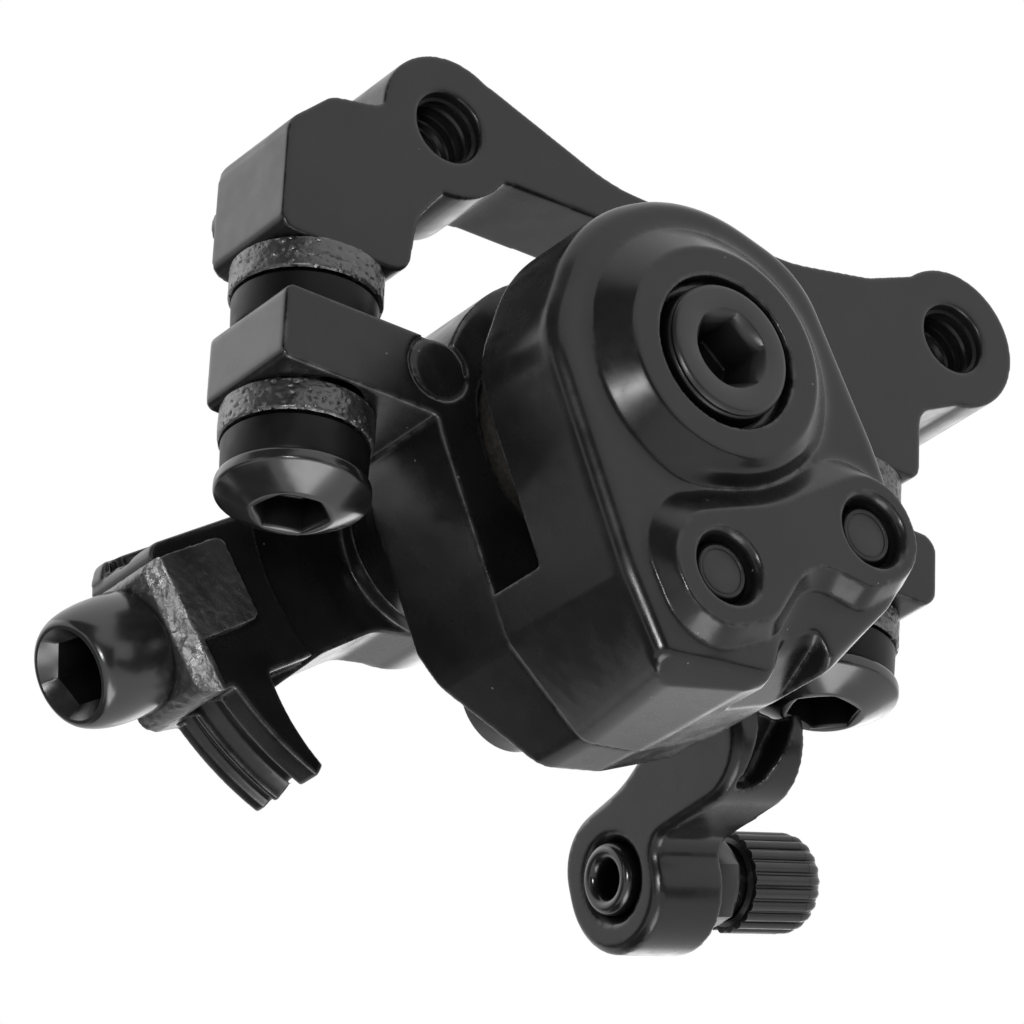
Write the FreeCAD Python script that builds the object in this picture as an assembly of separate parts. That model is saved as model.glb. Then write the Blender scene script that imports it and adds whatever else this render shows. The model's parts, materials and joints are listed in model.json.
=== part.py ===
import FreeCAD, Part
import math
import os

os.makedirs("parts", exist_ok=True)
Vec = FreeCAD.Vector

# Frame: X along the two frame holes, Y along the rotor axis away from the cover, Z up.
# The origin lies midway between the frame holes on the adapter's mounting face.
frame_hole_spacing = 51.0
thread_r = 3.0
mount_bolt_spacing = 51.0
mount_bolt_x = -34.6
adapter_depth = 10.0
bolt_y = -adapter_depth / 2
fit = 0.05
chamfer = 0.2

# Stations across the brake, from the cover to the arm.
part_y = -11.9
slot_width = 6.0
slot_y = part_y - slot_width
rim_y = -27.2
boss_y = -29.6
disc_y = -30.2
body_back_y = -1.1
neck_y = 8.3
arm_y = 9.3
arm_back_y = 18.0
cable_y = 13.5

# Stations up the mounting bolts.
block_z = -14.8
cup_h = 2.8
dome_h = 3.2
ear_top_z = block_z - cup_h - dome_h
ear_h = 6.5
ear_bottom_z = ear_top_z - ear_h
flange_z = ear_bottom_z - cup_h - dome_h

# The actuator axis, and the body's own line, which leans from straight down.
axis_x = -12.3
axis_z = -24.4
lean = math.radians(30)
body_r = 13.7
body_half = 15.6
body_foot = 25.0
body_bolt_s = 16.0
body_bolt_t = 7.8
body_bolt_r = 2.45
rotor_r = 80.0
rotor_reach = 10.6
rotor_room = 1.0

# Pads.
pad_r = 10.0
lining_r = 9.4
plate_t = 1.8
lining_t = 2.6
pad_stand = 0.8
pad_play = 0.4
pad_travel = 1.7

# Actuator.
piston_r = 7.6
ball_r = 1.75
ball_ring_r = 5.2
ball_bite = 1.0
ball_play = 0.05
cam_flange_t = 3.2
washer_t = 0.8
shaft_r = 4.0
bush_r = 5.2
hub_r = 7.8
neck_r = 8.8

# Cable line and stop.
cable_offset = 26.8
cable_slope = math.radians(16)
tip_run = 14.2
stop_face = 15.0
stop_back = 22.0
stop_r = 6.1
nut_t = 3.4
nut_af = 7.6
knurl_gap = 1.2
knurl_len = 7.8
knurl_run = stop_back + nut_t + knurl_gap
barrel_end = knurl_run + knurl_len
barrel_thread_r = 3.0
knurl_r = 4.2
clamp_angle = math.radians(215)
clamp_seat = cable_offset + 0.8
hook_out = cable_offset - 0.8


def vec(x, y, z):
    return Vec(x, y, z)


# A place on the body: s runs along its own line from the actuator axis, t across it.
def spot(s, t, y=0.0):
    return vec(axis_x + s * math.sin(lean) + t * math.cos(lean), y,
               axis_z - s * math.cos(lean) + t * math.sin(lean))


def polar(radius, angle, y=0.0):
    return vec(axis_x + radius * math.cos(angle), y, axis_z + radius * math.sin(angle))


def front(a, b):
    return vec(a, 0, b)


def rounded_wire(corners, place):
    ends = []
    flat = [vec(a, b, 0) for a, b, radius in corners]
    for i, (a, b, radius) in enumerate(corners):
        here = flat[i]
        before = (flat[i - 1] - here).normalize()
        after = (flat[(i + 1) % len(flat)] - here).normalize()
        if radius == 0:
            ends.append((here, None, here))
            continue
        half = before.getAngle(after) / 2
        reach = radius / math.tan(half)
        middle = here + (before + after).normalize() * (radius / math.sin(half) - radius)
        ends.append((here + before * reach, middle, here + after * reach))
    edges = []
    for i, (start, middle, finish) in enumerate(ends):
        points = [place(p.x, p.y) for p in (start, middle, finish) if p is not None]
        if middle is not None:
            edges.append(Part.Arc(*points).toShape())
        following = ends[(i + 1) % len(ends)][0]
        if (following - finish).Length > 1e-6:
            edges.append(Part.makeLine(points[-1], place(following.x, following.y)))
    return Part.Wire(edges)


# A flat outline across Y with its corners rounded, carried from y0 to y1.
def plate(corners, place, y0, y1):
    lifted = rounded_wire(corners, place)
    lifted.translate(vec(0, y0, 0))
    return Part.Face(lifted).extrude(vec(0, y1 - y0, 0))


def rod(radius, start, end):
    way = end - start
    return Part.makeCylinder(radius, way.Length, start, way)


def cone(radius0, radius1, start, end):
    way = end - start
    return Part.makeCone(radius0, radius1, way.Length, start, way)


def drum(radius, y0, y1, centre=None):
    centre = centre or spot(0, 0)
    return rod(radius, vec(centre.x, y0, centre.z), vec(centre.x, y1, centre.z))


def ring(outer, inner, y0, y1, centre=None):
    return drum(outer, y0, y1, centre).cut(drum(inner, y0 - 1, y1 + 1, centre))


# A solid turned about a line: the profile holds (radius, distance along the line, corner radius if any).
def turned(profile, base, way):
    corners = [corner if len(corner) == 3 else corner + (0,) for corner in profile]
    solid = Part.Face(rounded_wire(corners, front)).revolve(vec(0, 0, 0), vec(0, 0, 1), 360)
    solid.Placement = FreeCAD.Placement(base, FreeCAD.Rotation(vec(0, 0, 1), way))
    return solid


def hexagon(across, start, end, turn=0.0):
    way = end - start
    radius = across / math.sqrt(3)
    points = [vec(radius * math.cos(turn + math.radians(60 * i)),
                  radius * math.sin(turn + math.radians(60 * i)), 0) for i in range(7)]
    solid = Part.Face(Part.makePolygon(points)).extrude(vec(0, 0, way.Length))
    solid.Placement = FreeCAD.Placement(start, FreeCAD.Rotation(vec(0, 0, 1), way))
    return solid


# A hoop of eight-sided section about the actuator axis.
def hoop(major, minor, y):
    half_side = minor * math.tan(math.radians(22.5))
    section = [(-minor, -half_side), (-half_side, -minor), (half_side, -minor), (minor, -half_side),
               (minor, half_side), (half_side, minor), (-half_side, minor), (-minor, half_side)]
    return turned([(major + a, b) for a, b in section], spot(0, 0, y), vec(0, 1, 0))


# A solid across Y whose outline changes from one list of corners to another.
def tapered(corners0, corners1, place, y0, y1):
    wires = [rounded_wire(corners0, place), rounded_wire(corners1, place)]
    wires[0].translate(vec(0, y0, 0))
    wires[1].translate(vec(0, y1, 0))
    return Part.makeLoft(wires, True, True)


def join(shapes):
    solid = shapes[0].fuse(shapes[1:])
    return solid.removeSplitter()


def save(name, solids):
    solids = solids if isinstance(solids, list) else [solids]
    pieces = [piece for shape in solids for piece in shape.Solids]
    shape = pieces[0] if len(pieces) == 1 else Part.makeCompound(pieces)
    shape.exportStep("parts/" + name + ".step")
    print(name, len(pieces), shape.isValid(), round(shape.Volume, 1), shape.BoundBox)


frame_holes = [vec(side * frame_hole_spacing / 2, 0, 0) for side in (-1, 1)]
bolt_places = [vec(mount_bolt_x + i * mount_bolt_spacing, bolt_y, 0) for i in (0, 1)]

# Adapter: two bolt blocks and two threaded ends joined by an arched bar.
block_half = 5.7
end_r = 6.2
hole_x = frame_hole_spacing / 2
left = bolt_places[0].x
right = bolt_places[1].x
adapter = plate([(left - block_half, block_z, 1.2), (left - block_half, -5.2, 2.6),
                 (left - 1.9, -1.6, 2.0), (left + 2.6, -0.6, 2.4), (-hole_x, end_r, 5.0),
                 (-hole_x + 4.0, 5.1, 5.0), (-9.5, 0.9, 16.0), (8.5, 0.7, 16.0), (hole_x - 9.0, 2.4, 6.0),
                 (hole_x, end_r, 5.0), (hole_x + end_r, 0, 5.0), (hole_x + 3.1, -4.9, 4.0),
                 (right + block_half, -8.2, 2.2), (right + block_half, block_z, 1.2),
                 (right - block_half, block_z, 1.2), (right - block_half, -4.4, 3.0),
                 (-9.0, -2.6, 14.0), (left + 14.4, -2.9, 8.0), (left + 9.6, -5.2, 3.4),
                 (left + 6.7, -9.4, 3.0), (left + 6.1, block_z, 1.8)],
                front, -adapter_depth, 0)
adapter = join([adapter] + [drum(end_r, -adapter_depth, 0, hole) for hole in frame_holes])
nub_r = 2.6
nubs = [drum(nub_r, -0.5, 1.1, vec(left - block_half + nub_r + 0.3, 0, -9.6))]
adapter = join([adapter] + nubs)

# Behind, the bar stands back from the faces round the two holes.
bar_relief = 1.6
relief = plate([(left + 9.0, -9.0, 0), (hole_x - 8.0, -9.0, 0), (hole_x - 8.0, 8.0, 0), (-17.8, 8.0, 0)],
               front, -bar_relief, 1.0)
adapter = adapter.cut(relief.cut(drum(end_r - 1.0, -bar_relief - 1, 2, frame_holes[0])))
for hole in frame_holes:
    adapter = adapter.cut(drum(thread_r, -adapter_depth - 1, 1, hole))
    for y0, y1, r0, r1 in ((-adapter_depth, -adapter_depth + chamfer, chamfer, 0),
                           (-chamfer, 0, 0, chamfer)):
        mouth = cone(thread_r + r0, thread_r + r1, hole + vec(0, y0, 0), hole + vec(0, y1, 0))
        adapter = adapter.cut(mouth)
for place in bolt_places:
    adapter = adapter.cut(rod(thread_r + fit, place + vec(0, 0, block_z - 1), place + vec(0, 0, 12)))
save("mount_adapter", adapter)

# Mounting bolts: cone heads with hex sockets, pointing up.
flange_r = 6.05
flange_t = 1.1
head_h = 2.65
head_face_r = 3.3
key_af = 5.0
bolt_tip_z = -2.9
bolts = []
for place in bolt_places:
    profile = [(0, 0), (head_face_r, 0), (flange_r, head_h - flange_t), (flange_r, head_h),
               (thread_r, head_h), (thread_r, bolt_tip_z - flange_z + head_h - 0.6),
               (thread_r - 0.6, bolt_tip_z - flange_z + head_h), (0, bolt_tip_z - flange_z + head_h)]
    base = place + vec(0, 0, flange_z - head_h)
    bolt = turned(profile, base, vec(0, 0, 1))
    bolts.append(bolt.cut(hexagon(key_af, base - vec(0, 0, 1), base + vec(0, 0, head_h + 0.4))))
save("mount_bolts", bolts)

# Cup and dome washers: a dome seats in the cup below it, so the brake can be levelled.
cup_r = 6.05
cup_bore = 3.4
ball_seat_r = 7.5
dome_base_r = 5.75
dome_rim = 2.9
seat_drop = math.sqrt(ball_seat_r ** 2 - dome_base_r ** 2)


def cup(place, top):
    washer = rod(cup_r, place + vec(0, 0, top - cup_h), place + vec(0, 0, top))
    washer = washer.cut(rod(cup_bore, place + vec(0, 0, top - 10), place + vec(0, 0, top + 1)))
    centre = place + vec(0, 0, top - cup_h - dome_h + dome_rim - seat_drop)
    return washer.cut(Part.makeSphere(ball_seat_r, centre))


def dome(place, top):
    washer = rod(dome_base_r, place + vec(0, 0, top - cup_h - dome_h), place + vec(0, 0, top))
    washer = washer.cut(rod(cup_bore, place + vec(0, 0, top - 10), place + vec(0, 0, top + 1)))
    centre = place + vec(0, 0, top - cup_h - dome_h + dome_rim - seat_drop)
    return washer.common(Part.makeSphere(ball_seat_r, centre))


for level, top in (("upper", block_z), ("lower", ear_bottom_z)):
    save(level + "_cup_washers", [cup(place, top) for place in bolt_places])
    save(level + "_dome_washers", [dome(place, top) for place in bolt_places])

# Body outline along its own line: the round end wraps the pads, and the foot is cut away at both corners.
# The heel is square at the rim and slants away towards the parting face.
def body_outline(grow=0.0, heel=(22.8, -12.4)):
    lift = body_r + grow
    return [(-lift, -lift * 0.414, lift * 0.95), (-lift * 0.414, -lift, lift * 0.6),
            (14.0, -body_half - grow, 2.5), (heel[0], heel[1] - grow, 2.4), (body_foot - 0.5 + grow, -7.6, 3.0),
            (body_foot + grow, 0.2, 5.0), (21.6, 8.6, 5.0), (17.9, 12.6, 4.0), (9.0, lift, 8.0),
            (-lift * 0.414, lift, lift * 0.6), (-lift, lift * 0.414, lift * 0.95)]


rotor_centre = spot(rotor_reach - rotor_r, 0)
rotor_slot = drum(rotor_r + rotor_room, slot_y, part_y, rotor_centre)
bolt_spots = [spot(body_bolt_s, side * body_bolt_t) for side in (-1, 1)]
pad_pocket_r = pad_r + 0.35
moving_plate_y = part_y - pad_stand + lining_t
moving_back_y = moving_plate_y + plate_t
fixed_plate_y = slot_y + pad_stand - lining_t
fixed_back_y = fixed_plate_y - plate_t
tab_half = 2.6
tab_s = -11.6


def pad_room(y0, y1, r, half, reach):
    tab = plate([(reach, -half, 0), (reach, half, 0), (0, half, 0), (0, -half, 0)], spot, y0, y1)
    return drum(r, y0, y1).fuse(tab)


# Front cover: the outer half, with the slot wall, the pad-adjuster boss and the bolt pad.
boss_base_r = 10.4
boss_top_r = 9.4
boss_rise = rim_y - boss_y
recess_r = 6.25
recess_depth = 1.6
plug_r = 5.5
pocket_y = fixed_back_y - pad_travel
rim_heel = (22.0, -15.6)
rim_bevel = 0.9
cover = tapered(body_outline(0.2), body_outline(0.2, rim_heel), spot, part_y, rim_y + rim_bevel)
rim = tapered(body_outline(0.2, rim_heel), body_outline(0.2 - rim_bevel, rim_heel), spot, rim_y + rim_bevel, rim_y)

# The toe is rounded away along a slanted line, from its front face down to the foot.
toe_line = spot(24.4, -5.6, rim_y) - spot(20.2, -15.9, rim_y)
toe_out = vec(0, 1, 0).cross(toe_line).normalize()
toe_start = spot(20.2, -15.9, rim_y) - toe_line
toe_curve = [toe_start, toe_start + toe_out * 1.3 + vec(0, 2.4, 0), toe_start + toe_out * 2.3 + vec(0, 7.5, 0)]
toe_rest = Part.makePolygon([toe_curve[2], toe_curve[2] + toe_out * 8, toe_start + toe_out * 8 - vec(0, 1, 0),
                             toe_start - vec(0, 1, 0), toe_start])
toe = Part.Face(Part.Wire([Part.Arc(*toe_curve).toShape()] + toe_rest.Edges))
cover = cover.fuse(rim).cut(toe.extrude(toe_line * 3))
swell = turned([(0, -1.0), (boss_base_r + 2.4, -1.0), (boss_base_r + 2.4, 0), (boss_base_r, 0, 1.6),
                (boss_top_r, boss_rise, 1.4), (0, boss_rise)], spot(0, 0, rim_y), vec(0, -1, 0))
pad_y = rim_y - 1.3
pad_foot = [(8.8, -13.6, 5.2), (21.8, -13.6, 5.0), (21.9, -4.7, 3.0), (18.2, 0.7, 3.4), (21.6, 4.6, 2.4),
            (20.6, 12.0, 4.4), (8.8, 12.0, 5.0), (9.6, -0.8, 12.0)]
pad_top = [(10.8, -12.7, 4.6), (20.6, -12.7, 4.4), (20.7, -5.4, 3.0), (16.9, 0.6, 4.0), (20.4, 5.4, 2.2),
           (19.8, 11.9, 4.0), (11.0, 11.9, 4.2), (12.4, -0.8, 12.0)]
bolt_pad = tapered(pad_foot, pad_top, spot, rim_y, pad_y)
cover = join([cover, swell, bolt_pad, plate(pad_foot, spot, rim_y, rim_y + 2)])
cover = cover.cut(rotor_slot)
slot_face = plate([(-40, -40, 0), (-40, 40, 0), (rotor_reach - 3.0, 40, 0), (rotor_reach - 3.0, -40, 0)],
                  spot, slot_y, part_y + 1)
cover = cover.cut(slot_face)
cover = cover.cut(pad_room(pocket_y, slot_y + 1, pad_pocket_r, tab_half + 0.2, tab_s - 0.3))
cover = cover.cut(drum(plug_r + fit, disc_y - 1, pocket_y + 1))
cover = cover.cut(drum(recess_r, boss_y - 1, boss_y + recess_depth))
pin_recess_r = body_bolt_r + 0.3
pin_face_y = pad_y + 0.4
for place in bolt_spots:
    cover = cover.cut(drum(body_bolt_r + fit, rim_y - 3, part_y + 1, place))
    cover = cover.cut(drum(pin_recess_r, rim_y - 3, pin_face_y + 0.6, place))
    mouth = vec(place.x, pad_y, place.z)
    cover = cover.cut(cone(pin_recess_r + 0.4, pin_recess_r, mouth, mouth + vec(0, 0.4, 0)))

# A notch in the foot, with a floor that slants back and down.
notch_s = body_foot - 3.1
notch = plate([(notch_s, -3.6, 0.8), (notch_s + 2.7, -5.9, 2.0), (notch_s + 8, -5.9, 0), (notch_s + 8, 0.5, 0),
               (notch_s, 0, 0.5)], spot, rim_y - 2, part_y)
notch_side = [(-0.5, -3), (0, 0.3), (0.8, 1.1), (3.5, 8.0), (9.0, 8.0), (9.0, -3), (-0.5, -3)]
floor = Part.Face(Part.makePolygon([spot(notch_s + s, -9, rim_y + y) for s, y in notch_side]))
cover = cover.cut(notch.common(floor.extrude(spot(0, 14) - spot(0, 0))))
save("front_cover", cover)

# Body: back half, mounting ears, neck and cable stop arm.
ear_front_y = part_y
ear_back_y = body_back_y
ear_over = 6.0
ears = plate([(left - ear_over, ear_bottom_z, 0.8), (left - ear_over, ear_top_z, 0.8),
              (right + ear_over, ear_top_z, 1.6), (right + ear_over, ear_bottom_z, 1.6)],
             front, ear_front_y, ear_back_y)
half_shell = plate(body_outline(), spot, part_y, body_back_y)
neck = cone(12.2, neck_r, spot(0, 0, body_back_y - 0.5), spot(0, 0, neck_y))
body_bevel = Part.Face(Part.makePolygon([
    spot(body_foot + 2, -30, part_y + 3.8), spot(body_foot + 2, -30, body_back_y + 1),
    spot(11.0, -30, body_back_y + 1), spot(11.0, -30, body_back_y),
    spot(body_foot + 2, -30, part_y + 3.8)]))
half_shell = half_shell.cut(body_bevel.extrude(spot(0, 60) - spot(0, 0)))

cable_way = vec(-math.cos(cable_slope), 0, -math.sin(cable_slope))
cable_down = vec(math.sin(cable_slope), 0, -math.cos(cable_slope))


# A place near the cable line: run leads to the barrel, across leads away from the actuator axis.
def on_cable(run, across=0.0, y=cable_y):
    return spot(0, 0, y) + cable_down * (cable_offset + across) - cable_way * run


def stop_plane(a, b):
    return on_cable(stop_face, b, cable_y + a)


bar_side = -18.7
bar_root = 15.3 - cable_offset
stop_wire = rounded_wire([(stop_r, -5.4, 5.0), (stop_r, stop_r, 6.05), (-5.6, stop_r, 5.3), (-5.6, -1.2, 1.8),
                          (bar_side, -1.9, 5.5), (bar_side, bar_root, 0), (-12.6, bar_root, 0), (-3.0, -6.9, 12.0)],
                         stop_plane)
stop = Part.Face(stop_wire).extrude(cable_way * (stop_face - stop_back))
face_edges = [edge for edge in stop.Edges
              if all(abs((point.Point - on_cable(stop_face)).dot(cable_way)) < 0.01 for point in edge.Vertexes)]
stop = stop.makeChamfer(0.6, face_edges)
body = join([half_shell, ears, neck, stop])


# A place on the slanted side of the stop bar, p along the groove there and q across it.
def on_groove(p, q):
    return groove_start + groove_way * p - cable_way * q


groove_start = on_cable(stop_face + 4.4, -7.2, cable_y + bar_side)
groove_end = on_cable(stop_face + 2.5, -2.8, cable_y + bar_side + 2.3)
groove_way = (groove_end - groove_start).normalize()
groove_len = (groove_end - groove_start).Length
groove_in = (vec(0, 0.75, 0) - cable_down * 0.66).normalize()
groove = Part.Face(rounded_wire([(-2.0, -1.9, 1.8), (-2.0, 1.9, 1.8), (groove_len + 1.1, 1.1, 1.0),
                                 (groove_len + 1.1, -1.1, 1.0)], on_groove))
groove.translate(groove_in * -3)
body = body.cut(groove.extrude(groove_in * 4.8))
body = body.cut(rod(barrel_thread_r, on_cable(tip_run - 5), on_cable(stop_back + 1)))
body = body.cut(cone(barrel_thread_r + 0.8, barrel_thread_r, on_cable(stop_face - 0.001),
                     on_cable(stop_face + 0.8)))
head_room = 0.6
for place in bolt_places:
    head_low = place + vec(0, 0, flange_z - head_h - 1)
    body = body.cut(rod(flange_r + head_room, head_low, place + vec(0, 0, ear_bottom_z)))
ear_slot = 1.6
ear_mid_y = (ear_front_y + ear_back_y) / 2
for place in bolt_places:
    low = vec(place.x, ear_mid_y - ear_slot, ear_bottom_z - 1)
    high = vec(place.x, ear_mid_y + ear_slot, ear_bottom_z - 1)
    for end in (low, high):
        body = body.cut(rod(3.25, end, end + vec(0, 0, ear_h + 2)))
    body = body.cut(Part.makeBox(6.5, 2 * ear_slot, ear_h + 2, low - vec(3.25, 0, 0)))
body = body.cut(pad_room(part_y - 1, moving_back_y + pad_play, pad_pocket_r, tab_half + 0.2, tab_s - 0.3))
piston_front = moving_back_y
ball_y = piston_front + 5.0 + ball_r - ball_bite
piston_back = ball_y - ball_r + ball_bite
cam_front = ball_y + ball_r - ball_bite
cam_back = cam_front + cam_flange_t
wall_y = cam_back + washer_t
bore_r = piston_r + fit
body = body.cut(drum(bore_r, part_y, wall_y))
body = body.cut(drum(bush_r, wall_y - 1, neck_y + 1))
for place in bolt_spots:
    body = body.cut(drum(body_bolt_r + 0.15, part_y - 1, neck_y, place))
    body = body.cut(drum(4.4, body_back_y - 3.5, neck_y, place))
key_way = plate([(-piston_r - 1.3, -1.3, 0), (-piston_r - 1.3, 1.3, 0), (0, 1.3, 0), (0, -1.3, 0)],
                spot, part_y, piston_back + 1.0)
body = body.cut(key_way)
spring_r = 6.0
spring_wire = 0.45
leg_hole = polar(spring_r, math.radians(90))
body = body.cut(drum(spring_wire + 0.1, neck_y - 1.8, neck_y + 1, leg_hole))
eject_spot = vec(-26.5, part_y, -23.2)
body = body.cut(ring(2.8, 2.4, part_y - 1, part_y + 0.3, eject_spot))
save("caliper_body", body)

# Body bolts: from behind, ending flush in the cover's recesses.
bolts = []
bolt_grip = body_back_y - 3.5 - pin_face_y
for place in bolt_spots:
    profile = [(0, 0), (body_bolt_r - 0.35, 0), (body_bolt_r, 0.35), (body_bolt_r, bolt_grip),
               (4.2, bolt_grip), (4.2, bolt_grip + 4.7), (0, bolt_grip + 4.7)]
    bolt = turned(profile, vec(place.x, pin_face_y, place.z), vec(0, 1, 0))
    top = vec(place.x, body_back_y + 2.2, place.z)
    bolts.append(bolt.cut(hexagon(4.0, top, vec(place.x, body_back_y - 1.3, place.z))))
save("body_bolts", bolts)

# Pads: each a steel plate with an anti-turn tab and a bonded lining.
magnet_r = 3.0
magnet_t = 1.0
for name, face, back in (("moving", part_y - pad_stand, moving_plate_y),
                         ("fixed", slot_y + pad_stand, fixed_plate_y)):
    save(name + "_lining", drum(lining_r, min(face, back), max(face, back)))
save("moving_plate", pad_room(moving_plate_y, moving_back_y, pad_r, tab_half, tab_s).removeSplitter())
save("fixed_plate", pad_room(fixed_back_y, fixed_plate_y, pad_r, tab_half, tab_s).removeSplitter())

# Pad adjuster: a threaded plug behind the fixed pad, turned by a hex key.
socket_depth = 4.5
plug = drum(plug_r, disc_y, fixed_back_y)
plug = plug.cut(hexagon(key_af, spot(0, 0, disc_y - 1), spot(0, 0, disc_y + socket_depth)))
plug = plug.cut(cone(3.4, 2.6, spot(0, 0, disc_y), spot(0, 0, disc_y + 0.8)))
seal_y = (boss_y + recess_depth + pocket_y) / 2
plug = plug.cut(ring(plug_r + 1, plug_r - 1.0, seal_y - 0.6, seal_y + 0.6))
plug = plug.cut(drum(magnet_r + fit, fixed_back_y - magnet_t, fixed_back_y + 1))
save("pad_adjuster", plug)
save("adjuster_seal", hoop(plug_r - 0.5, 0.5, seal_y))
save("adjuster_magnet", drum(magnet_r, fixed_back_y - magnet_t, fixed_back_y))

# Actuator: a keyed piston, a ball ramp and a cam shaft held by the neck.
piston = drum(piston_r, piston_front, piston_back)
key = plate([(-piston_r - 1.2, -1.2, 0), (-piston_r - 1.2, 1.2, 0), (0, 1.2, 0), (0, -1.2, 0)],
            spot, piston_front + 0.6, piston_back)
piston = join([piston, key])
piston = piston.cut(hoop(ball_ring_r, ball_r + ball_play, ball_y))
piston = piston.cut(drum(magnet_r + fit, piston_front - 1, piston_front + magnet_t))
save("piston", piston)
save("piston_magnet", drum(magnet_r, piston_front, piston_front + magnet_t))
ball_spots = [polar(ball_ring_r, math.radians(90 + 120 * i), ball_y) for i in range(3)]
balls = [Part.makeSphere(ball_r, place) for place in ball_spots]
save("ramp_balls", balls)
cage = ring(piston_r - 0.5, 3.2, ball_y - 0.4, ball_y + 0.4)
for place in ball_spots:
    cage = cage.cut(drum(ball_r, ball_y - 1, ball_y + 1, place))
save("ball_cage", cage)
flat_half = 3.1
cam_r = piston_r - 0.2
shaft = join([drum(cam_r, cam_front, cam_back), drum(shaft_r, cam_back - 1, arm_back_y - 0.4)])
shaft = shaft.cut(hoop(ball_ring_r, ball_r + ball_play, ball_y))
for side_x in (-1, 1):
    low = axis_x + (flat_half if side_x > 0 else -flat_half - 5)
    shaft = shaft.cut(Part.makeBox(5, arm_back_y, 20, vec(low, neck_y + 0.6, axis_z - 10)))
end_bolt_r = 2.0
shaft = shaft.cut(drum(end_bolt_r + fit, arm_back_y - 7.5, arm_back_y + 1))
save("cam_shaft", shaft)
save("thrust_washer", ring(cam_r - 0.2, shaft_r + fit, cam_back, wall_y))
save("shaft_bush", ring(bush_r, shaft_r + fit, wall_y, neck_y))

# Return spring: a coil in the arm's hub with one leg in the neck and one in the arm.
recess_in = 5.1
recess_out = 6.9
recess_floor = arm_y + 4.7
coil_y = arm_y + 0.2
pitch = 1.15
turns = 3
path = Part.Wire(Part.makeHelix(pitch, pitch * turns, spring_r).Edges)
half = spring_wire
section = Part.makePolygon([vec(spring_r + a * half, 0, b * half)
                            for a, b in ((-1, -1), (1, -1), (1, 1), (-1, 1), (-1, -1))])
coil = path.makePipeShell([section], True, True)
coil.rotate(vec(0, 0, 0), vec(1, 0, 0), -90)
coil.rotate(vec(0, 0, 0), vec(0, 1, 0), -90)
coil.translate(spot(0, 0, coil_y + spring_wire))
legs = [drum(spring_wire, neck_y - 1.6, coil_y + spring_wire, leg_hole),
        drum(spring_wire, coil_y + pitch * turns + spring_wire, recess_floor + 1.4, leg_hole)]
save("return_spring", coil.fuse(legs).removeSplitter())

# Dust seal between the neck and the arm.
save("dust_seal", ring(hub_r - 0.1, recess_out, neck_y, arm_y))

# Actuator arm: hub, lever, clamp seat and the hooked cable track.
out = vec(math.cos(clamp_angle), 0, math.sin(clamp_angle))
up = vec(-math.sin(clamp_angle), 0, math.cos(clamp_angle))
if up.z < 0:
    up = up * -1


def on_arm(a, b):
    return spot(0, 0) + out * a + up * b


hook_end = math.radians(248.5)
seat_inner = hook_out - 8.4
hub = drum(hub_r, arm_y, arm_back_y)
web = plate([(0, 7.2, 0), (clamp_seat, 7.2, 1.5), (clamp_seat, -5.6, 0), (20.5, -6.5, 0),
             (14.0, -5.2, 5.0), (8.0, -5.0, 4.0), (3.4, -7.0, 0), (0, -6, 0)],
            on_arm, arm_y + 1.6, arm_back_y - 0.4)
seat = plate([(12.0, 7.2, 0), (clamp_seat, 7.2, 1.5), (clamp_seat, -5.6, 0), (12.0, -5.2, 0)],
             on_arm, arm_y - 0.4, arm_back_y - 0.4)
seat = seat.cut(drum(seat_inner, arm_y - 1, arm_back_y + 1))
rib = plate([(9.0, 7.0, 0), (11.5, 8.3, 1.0), (clamp_seat - 1.6, 8.3, 1.2), (clamp_seat - 0.4, 7.0, 0)],
            on_arm, arm_back_y - 2.0, arm_back_y - 0.4)
band = drum(hook_out, arm_y - 0.4, arm_back_y - 0.4)
band = band.cut(drum(hook_out - 8.8, arm_y - 1, arm_back_y + 1, polar(9.0, math.radians(275))))
wedge_far = 60.0
wedge = Part.makePolygon([spot(0, 0, arm_y - 2), polar(wedge_far, clamp_angle + 0.12, arm_y - 2),
                          polar(wedge_far, hook_end, arm_y - 2), spot(0, 0, arm_y - 2)])
hook = band.common(Part.Face(wedge).extrude(vec(0, 20, 0)))
arm = join([hub, web, seat, rib, hook])
arm = arm.cut(hoop(hook_out + 0.3, 1.5, cable_y - 0.6))
arm = arm.cut(hoop(hook_out + 0.2, 0.7, cable_y + 2.2))
arm = arm.cut(ring(recess_out, recess_in, arm_y - 1, recess_floor))
bore = drum(shaft_r + fit, arm_y - 1, arm_back_y + 1)
flats = Part.makeBox(2 * (flat_half + fit), 20, 20, vec(axis_x - flat_half - fit, arm_y - 2, axis_z - 10))
arm = arm.cut(bore.common(flats))
arm = arm.cut(drum(spring_wire + 0.1, recess_floor - 1, recess_floor + 1.8, leg_hole))
clamp_r = 2.5
clamp_line = spot(0, 0, cable_y) + up * 0.4
arm = arm.cut(rod(clamp_r + fit, clamp_line + out * (clamp_seat - 7.0), clamp_line + out * (clamp_seat + 6)))
save("actuator_arm", arm)

# Arm screw and washer on the shaft's end.
save("arm_washer", ring(6.2, end_bolt_r + 0.15, arm_back_y, arm_back_y + 1.0))
screw = turned([(0, 0), (end_bolt_r, 0), (end_bolt_r, 7.0), (4.6, 7.0), (4.6, 8.0), (3.4, 9.9), (0, 9.9)],
               spot(0, 0, arm_back_y - 6.0), vec(0, 1, 0))
screw = screw.cut(hexagon(4.0, spot(0, 0, arm_back_y + 5), spot(0, 0, arm_back_y + 1.6)))
save("arm_screw", screw)

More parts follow.
